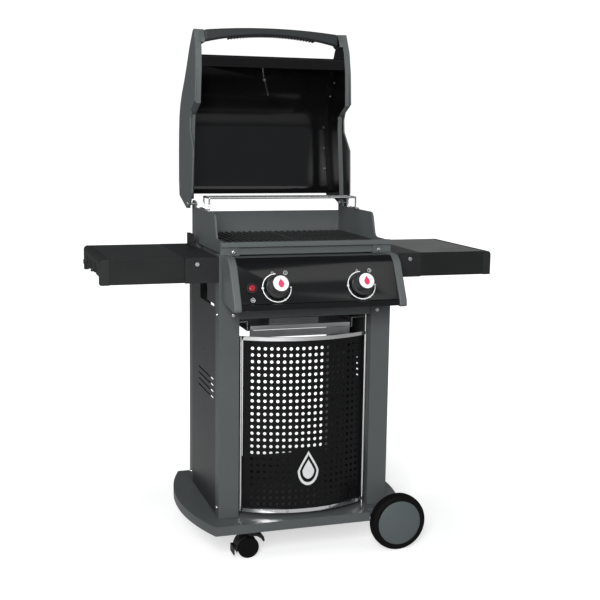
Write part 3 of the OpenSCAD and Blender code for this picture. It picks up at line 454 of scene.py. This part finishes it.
def flame_in(bm, place, wide, tall, thick):
    # a plain drop-shaped flame
    rim = bmesh.ops.create_circle(bm, cap_ends=True, cap_tris=True, segments=40, radius=1)["verts"]
    for v in rim:
        taper = max(0.0, v.co.y)
        v.co.x *= (1 - taper) ** 0.7 if taper > 0 else 1
        v.co.x, v.co.y = v.co.x * wide / 2 * mm, (v.co.y + 0.1 * taper) * tall / 2.1 * mm
    faces = list({f for v in rim for f in v.link_faces})
    raised = bmesh.ops.extrude_face_region(bm, geom=faces)["geom"]
    top = [g for g in raised if isinstance(g, bmesh.types.BMVert)]
    bmesh.ops.translate(bm, vec=(0, 0, thick * mm), verts=top)
    whole = list({v for v in rim if v.is_valid} | set(top))
    bmesh.ops.transform(bm, matrix=place, verts=whole)
    bmesh.ops.recalc_face_normals(bm, faces=bm.faces)


for side, sign in (("left", -1), ("right", 1)):
    knob_x = sign * burner_x
    bm = bmesh.new()
    turned_in(bm, [(4.1, 5), (32, 5), (33, 6), (33, 9.5), (32, 12.5), (29.5, 15), (27.6, 16.2),
                   (26.8, 18), (26.4, 24), (26, 38), (25.4, 41), (24.6, 42.4), (23.6, 43), (0, 43),
                   (0, 22), (4.1, 22), (4.1, 5)], on_panel(knob_x), 96)
    piece(f"{side}_knob_body", bm, f"{side}_dial", knob_black, [f"{side}_knob"])
    bm = bmesh.new()
    cap_r, cap_top = 22.6, 44.7
    turned_in(bm, [(0, 42.9), (cap_r, 42.9), (cap_r, 43.6), (22, 44.2), (15, 44.6), (0, cap_top)],
              on_panel(knob_x), 72)
    piece(f"{side}_knob_cap", bm, f"{side}_dial", print_white)
    bm = bmesh.new()
    flame_in(bm, on_panel(knob_x, 0, cap_top - 0.4), 17, 27, 0.8)
    piece(f"{side}_knob_mark", bm, f"{side}_dial", mark_red)
    finished(f"{side}_knob_stem", f"{side}_stem", brass, 0.3 * mm)

    # white dial line, its stops, and a burner number in a ring
    dial_r = 41.7
    bm = bmesh.new()
    inner = bm.verts.new((0, (dial_r - 1.3) * mm, 0))
    outer = bm.verts.new((0, (dial_r + 1.3) * mm, 0))
    bm.edges.new((inner, outer))
    bmesh.ops.spin(bm, geom=bm.verts[:] + bm.edges[:], cent=(0, 0, 0), axis=(0, 0, 1),
                   angle=math.radians(265), steps=72)
    for angle, radius in ((180, 3.6), (300, 3.0), (0, 2.6)):
        way = math.radians(angle)
        dot = Matrix.Translation((dial_r * mm * math.cos(way), dial_r * mm * math.sin(way), 0))
        bmesh.ops.create_circle(bm, cap_ends=True, segments=24, radius=radius * mm, matrix=dot)
    for x, y, radius, line in ((30, 44, 6, 0.9), (-9, 44, 3.6, 0.8)):
        spot = Matrix.Translation((x * mm, y * mm, 0))
        ring = bmesh.ops.create_circle(bm, segments=36, radius=radius * mm, matrix=spot)["verts"]
        edges = list({e for v in ring for e in v.link_edges})
        grown = bmesh.ops.extrude_edge_only(bm, edges=edges)["geom"]
        bmesh.ops.scale(bm, vec=(1 - line / radius,) * 3, space=spot.inverted(),
                        verts=[g for g in grown if isinstance(g, bmesh.types.BMVert)])
    bmesh.ops.recalc_face_normals(bm, faces=bm.faces)
    raised = bmesh.ops.extrude_face_region(bm, geom=bm.faces[:])["geom"]
    top = [g for g in raised if isinstance(g, bmesh.types.BMVert)]
    bmesh.ops.translate(bm, vec=(0, 0, 0.3 * mm), verts=top)
    bmesh.ops.transform(bm, matrix=on_panel(knob_x, 0, -1.05), verts=bm.verts)
    bmesh.ops.recalc_face_normals(bm, faces=bm.faces)
    piece(f"{side}_dial_print", bm, "frame", print_white)
    digit = bpy.data.curves.new(f"{side}_dial_number", "FONT")
    digit.body = "1" if side == "left" else "2"
    digit.size, digit.extrude = 9 * mm, 0.12 * mm
    digit.align_x, digit.align_y = "CENTER", "CENTER"
    number = bpy.data.objects.new(f"{side}_dial_number_print", digit)
    bpy.context.scene.collection.objects.link(number)
    bpy.context.view_layer.update()
    shaped = number.evaluated_get(bpy.context.evaluated_depsgraph_get())
    figure = bpy.data.meshes.new_from_object(shaped)
    bpy.data.objects.remove(number)
    bm = bmesh.new()
    bm.from_mesh(figure)
    bmesh.ops.transform(bm, matrix=on_panel(knob_x + 30, 44, -0.85), verts=bm.verts)
    piece(f"{side}_dial_number", bm, "frame", print_white)

finished("igniter_button", "igniter", button_red, 1.0 * mm, 3)

# a ring and a spark are printed under the igniter
bm = bmesh.new()
turned_in(bm, [(5.4, -1.05), (6.4, -1.05), (6.4, -0.75), (5.4, -0.75), (5.4, -1.05)],
          on_panel(igniter_x, -34), 40)
for turn in (0, 60, 120):
    spark = on_panel(igniter_x, -34, -0.9) @ Matrix.Rotation(math.radians(turn), 4, "Z")
    stroke = Matrix.Diagonal((6 * mm, 0.8 * mm, 0.3 * mm, 1))
    bmesh.ops.create_cube(bm, size=1, matrix=spark @ stroke)
piece("igniter_print", bm, "frame", print_white)


# ---- Side tables ----------------------------------------------------------
# Pressed table tops in satin black with moulded end trims; each folds down
# beside the cart on two bolts through its plastic bracket.
table_black = grain(mottle(
    finish("table_black", (0.005, 0.0052, 0.0055), 0.34, 0, 0.4),
    (0.004, 0.0042, 0.0045), (0.008, 0.0082, 0.0085), 0.28, 0.4, 6.0), 500, 0.05 * mm)
trim_grey = grain(mottle(
    finish("trim_grey", (0.014, 0.016, 0.016), 0.5, 0, 0.2),
    (0.012, 0.014, 0.014), (0.017, 0.019, 0.019), 0.44, 0.58, 9.0), 900, 0.25 * mm)
for side in ("left", "right"):
    finished(f"{side}_table_bracket", "frame", black_plastic, 1.5 * mm, 3)
    finished(f"{side}_table_top", f"{side}_table", table_black, 1.2 * mm, 3)
    finished(f"{side}_table_trim", f"{side}_table", trim_grey, 3 * mm, 3)
    finished(f"{side}_tool_hooks", f"{side}_table", black_plastic, 1 * mm)


# ---- Grease tray ----------------------------------------------------------
# A shallow aluminium tray with a drip pan in it slides out over the door.
tray_metal = grain(mottle(
    finish("tray_metal", (0.55, 0.56, 0.57), 0.4, 1.0),
    (0.5, 0.51, 0.52), (0.6, 0.61, 0.62), 0.32, 0.48, 12.0), 300, 0.1 * mm, (0.05, 1, 1))
finished("grease_tray", "tray", tray_metal, 0.5 * mm)
finished("drip_pan", "tray", tray_metal, 0.4 * mm)


# ---- Door -----------------------------------------------------------------
# A bowed black sheet in a chrome wire-and-strip frame, hung on two pins.
finished("door_pins", "frame", chrome, 0.3 * mm)
finished("door_frame", "door", chrome, 1.0 * mm)

door_black = grain(mottle(
    finish("door_black", (0.0035, 0.0035, 0.004), 0.3, 0, 0.13),
    (0.003, 0.003, 0.0035), (0.005, 0.005, 0.0055), 0.24, 0.36, 5.0), 300, 0.03 * mm)
columns, rows, hole_r = 19, 25, 5.0
pitch_x, pitch_z = 19.2, 19.92
low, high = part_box("door_skin")
skin_low, skin_high = low.z / mm, high.z / mm
first_z = skin_low + 16
bow_radius, bow_back = 365.3, 328.3
reach = 202.0


def bow(bm, radius):
    # roll a flat sheet, drawn as X and Z, onto the door's curve
    for v in bm.verts:
        turn = v.co.x / (bow_radius * mm)
        out = radius * mm + v.co.y
        back = cart_front + bow_back * mm
        v.co = Vector((out * math.sin(turn), back - out * math.cos(turn), v.co.z))


def sheet_cell(filled):
    cell = bmesh.new()
    ring = bmesh.ops.create_circle(cell, cap_ends=filled, segments=16, radius=hole_r * mm)["verts"]
    grown = bmesh.ops.extrude_edge_only(cell, edges=cell.edges[:])["geom"]
    for v in (g for g in grown if isinstance(g, bmesh.types.BMVert)):
        far = max(abs(v.co.x), abs(v.co.y))
        v.co.x, v.co.y = v.co.x / far * pitch_x / 2 * mm, v.co.y / far * pitch_z / 2 * mm
    for v in cell.verts:
        v.co = Vector((v.co.x, 0, v.co.y))
    stamp = bpy.data.meshes.new("sheet_cell")
    cell.to_mesh(stamp)
    cell.free()
    return stamp


stamps = {filled: sheet_cell(filled) for filled in (False, True)}
bm = bmesh.new()
for column in range(columns):
    for row in range(rows):
        plain = 7 <= column <= 11 and 3 <= row <= 8
        before = len(bm.verts)
        bm.from_mesh(stamps[plain])
        bm.verts.ensure_lookup_table()
        step = ((column - (columns - 1) / 2) * pitch_x * mm, 0, (first_z + row * pitch_z) * mm)
        bmesh.ops.translate(bm, vec=step, verts=bm.verts[before:])
bmesh.ops.remove_doubles(bm, verts=bm.verts, dist=1e-5)
edge_x = columns / 2 * pitch_x * mm
edge_low, edge_high = (first_z - pitch_z / 2) * mm, (first_z + (rows - 0.5) * pitch_z) * mm


def on_edge(v):
    return (abs(abs(v.co.x) - edge_x) < 1e-5 or abs(v.co.z - edge_low) < 1e-5
            or abs(v.co.z - edge_high) < 1e-5)


rim = [e for e in bm.edges if len(e.link_faces) == 1 and all(on_edge(v) for v in e.verts)]
grown = bmesh.ops.extrude_edge_only(bm, edges=rim)["geom"]
for v in (g for g in grown if isinstance(g, bmesh.types.BMVert)):
    if abs(abs(v.co.x) - edge_x) < 1e-5:
        v.co.x = math.copysign(reach * mm, v.co.x)
    if abs(v.co.z - edge_low) < 1e-5:
        v.co.z = skin_low * mm
    elif abs(v.co.z - edge_high) < 1e-5:
        v.co.z = skin_high * mm
bow(bm, bow_radius)
bmesh.ops.recalc_face_normals(bm, faces=bm.faces)
bm.faces.ensure_lookup_table()
if bm.faces[0].normal.y > 0:
    bmesh.ops.reverse_faces(bm, faces=bm.faces)
bmesh.ops.solidify(bm, geom=bm.faces[:], thickness=1.4 * mm)
bmesh.ops.recalc_face_normals(bm, faces=bm.faces)
piece("door_perforated_skin", bm, "door", door_black, ["door_skin"], 25)

# a plain flame badge on the door, made as a ring round a drop
bm = bmesh.new()
badge_z = first_z + 5.4 * pitch_z
for scale_out, scale_in in ((1.0, 0.8), (0.56, 0.02)):
    rim = bmesh.ops.create_circle(bm, segments=64, radius=1)["verts"]
    edges = list({e for v in rim for e in v.link_edges})
    grown = bmesh.ops.extrude_edge_only(bm, edges=edges)["geom"]
    inside = [g for g in grown if isinstance(g, bmesh.types.BMVert)]
    for group, size in ((rim, scale_out), (inside, scale_in)):
        for v in group:
            taper = max(0.0, v.co.y)
            flat_x = v.co.x * ((1 - taper) ** 0.7 if taper > 0 else 1) * 33 * size
            flat_z = (v.co.y + 0.35 * taper) * 46 * size - 6
            v.co = Vector((flat_x * mm, 0, (badge_z + flat_z) * mm))
bmesh.ops.remove_doubles(bm, verts=bm.verts, dist=1e-5)
bow(bm, bow_radius + 0.1)
bmesh.ops.recalc_face_normals(bm, faces=bm.faces)
bmesh.ops.solidify(bm, geom=bm.faces[:], thickness=-0.5 * mm)
bmesh.ops.recalc_face_normals(bm, faces=bm.faces)
badge_grey = grain(mottle(
    finish("badge_grey", (0.55, 0.56, 0.56), 0.4),
    (0.52, 0.53, 0.53), (0.6, 0.61, 0.61), 0.34, 0.5, 30.0), 900, 0.02 * mm)
piece("door_badge", bm, "door", badge_grey)

# clips that hold the sheet to the lower rail
lower_rail_z = 147
bm = bmesh.new()
for x in (-64, 72):
    turn = Matrix.Rotation(math.asin(x / bow_radius), 4, "Z")
    out = Matrix.Translation((0, -(bow_radius + 4.2) * mm, 0))
    place = Matrix.Translation(at(0, bow_back, lower_rail_z)) @ turn @ out
    plate = Matrix.Diagonal((9 * mm, 1.6 * mm, 9 * mm, 1))
    bmesh.ops.create_cube(bm, size=1, matrix=place @ plate)
    screw_in(bm, place @ Vector((0, -0.8 * mm, 0)), turn @ Vector((0, -1, 0)), 2.6, 1.6)
piece("door_clips", bm, "door", zinc)


# ---- Lid ------------------------------------------------------------------
# Enamelled sheet between two cast end caps, with a grey lip, an arched
# handle and a thermometer through the sloping front.
gauge_steel = grain(mottle(
    finish("gauge_steel", (0.6, 0.6, 0.61), 0.28, 1.0),
    (0.55, 0.55, 0.56), (0.65, 0.65, 0.66), 0.22, 0.34, 30.0), 400, 0.05 * mm)


def rounded_outline(node, along, width):
    # the corners of a casting's outline, rounded before its edges are eased
    bm = copy_of(node)
    corners = [e for e in bm.edges if len(e.link_faces) == 2 and e.calc_length() > 3 * mm
               and abs((e.verts[0].co - e.verts[1].co).normalized().dot(along)) > 0.995
               and math.radians(8) < e.calc_face_angle(0) < math.radians(100)]
    bmesh.ops.bevel(bm, geom=corners, offset=width, segments=4, profile=0.5, affect="EDGES",
                    material=-1, clamp_overlap=True)
    return bm


for side in ("left", "right"):
    bm = rounded_outline(f"lid_{side}_cap", Vector((1, 0, 0)), 7 * mm)
    casting = piece(f"lid_{side}_end_cap", bm, "lid", cast_grey,
                    [f"lid_{side}_cap"], 24)
    ease(casting, 2 * mm, 3, 40)

# the castings' hollow inner faces get a thin black sheet, short of their rounded edges: painted
# shade in the open lid's recesses
for side, sign in (("left", -1), ("right", 1)):
    bm = copy_of(f"lid_{side}_cap")
    inward = {f for f in bm.faces if f.normal.x * sign < -0.9}
    hollow = max(inward, key=lambda f: f.calc_area())
    walls = {f for e in hollow.edges for f in e.link_faces}
    bmesh.ops.delete(bm, geom=[f for f in bm.faces if f not in inward | walls], context="FACES")
    rim = bmesh.ops.inset_region(bm, faces=bm.faces[:], thickness=2.6 * mm,
                                 use_even_offset=True)["faces"]
    bmesh.ops.delete(bm, geom=rim, context="FACES")
    bmesh.ops.translate(bm, vec=(-sign * 0.05 * mm, 0, 0), verts=bm.verts)
    bmesh.ops.solidify(bm, geom=bm.faces[:], thickness=-0.3 * mm)
    bmesh.ops.recalc_face_normals(bm, faces=bm.faces)
    # a black sheet of painted shade laid over the cap's inner face and its walls
    piece(f"lid_{side}_cap_painted_shade", bm, "lid", door_black)
finished("lid_shroud", "lid", black_enamel, 0.6 * mm)
finished("lid_lip", "lid", black_enamel, 1.2 * mm)

# the handle is a grey moulding with a row of finger ribs along its inner side
handle_grey = grain(mottle(
    finish("handle_grey", (0.017, 0.019, 0.02), 0.44, 0, 0.3),
    (0.015, 0.017, 0.018), (0.021, 0.024, 0.025), 0.38, 0.52, 9.0), 900, 0.25 * mm)
finished("lid_handle", "lid", handle_grey, 7 * mm, 4)
hinge = at(0, 410, 1046)
opened = (Matrix.Translation(hinge) @ Matrix.Rotation(math.radians(-94), 4, "X")
          @ Matrix.Translation(-hinge))
bm = bmesh.new()
arch, arch_y, rib_low, rib_high, rib_pitch = 942.7, -125, 988.4, 1013.6, 10.1
for i in range(-14, 15):
    x = i * rib_pitch
    rib_y = arch_y + arch - math.sqrt(arch * arch - x * x) + 1.8
    rod_in(bm, opened @ at(x, rib_y, rib_low), opened @ at(x, rib_y, rib_high), 3.3 * mm, 20)
bmesh.ops.bevel(bm, geom=[e for e in bm.edges if e.calc_face_angle(0) > 1.2], offset=1.4 * mm,
                segments=3, profile=0.5, affect="EDGES", material=-1)
piece("handle_finger_ribs", bm, "lid", black_plastic)
finished("thermometer", "lid", gauge_steel, 0.8 * mm)

# the gauge's dial: a white face with marks, and a needle
bm = bmesh.new()
probe_y, probe_z, probe_tilt = 2, 1090, math.radians(52.3)
gauge = opened @ Matrix.Translation(at(0, probe_y, probe_z)) @ Matrix.Rotation(probe_tilt, 4, "X")
turned_in(bm, [(0, 14.4), (24, 14.4), (24, 14.9), (0, 14.9)], gauge, 72)
piece("gauge_face", bm, "lid", print_white)
bm = bmesh.new()
for i in range(21):
    mark = (gauge @ Matrix.Rotation(math.radians(-135 + 13.5 * i), 4, "Z")
            @ Matrix.Translation((0, 19.5 * mm, 15 * mm)))
    length = 5 if i % 5 == 0 else 2.6
    stroke = Matrix.Diagonal((0.8 * mm, length * mm, 0.3 * mm, 1))
    bmesh.ops.create_cube(bm, size=1, matrix=mark @ stroke)
needle = (gauge @ Matrix.Rotation(math.radians(135), 4, "Z")
          @ Matrix.Translation((0, 6 * mm, 15.5 * mm)))
bmesh.ops.create_cone(bm, cap_ends=True, segments=3, radius1=1.8 * mm, radius2=1.8 * mm,
                      depth=0.4 * mm, matrix=needle @ Matrix.Diagonal((0.8, 6, 1, 1)))
turned_in(bm, [(0, 15), (2.4, 15), (2.4, 16.2), (1.8, 16.6), (0, 16.6)], gauge, 24)
piece("gauge_marks", bm, "lid", black_plastic)
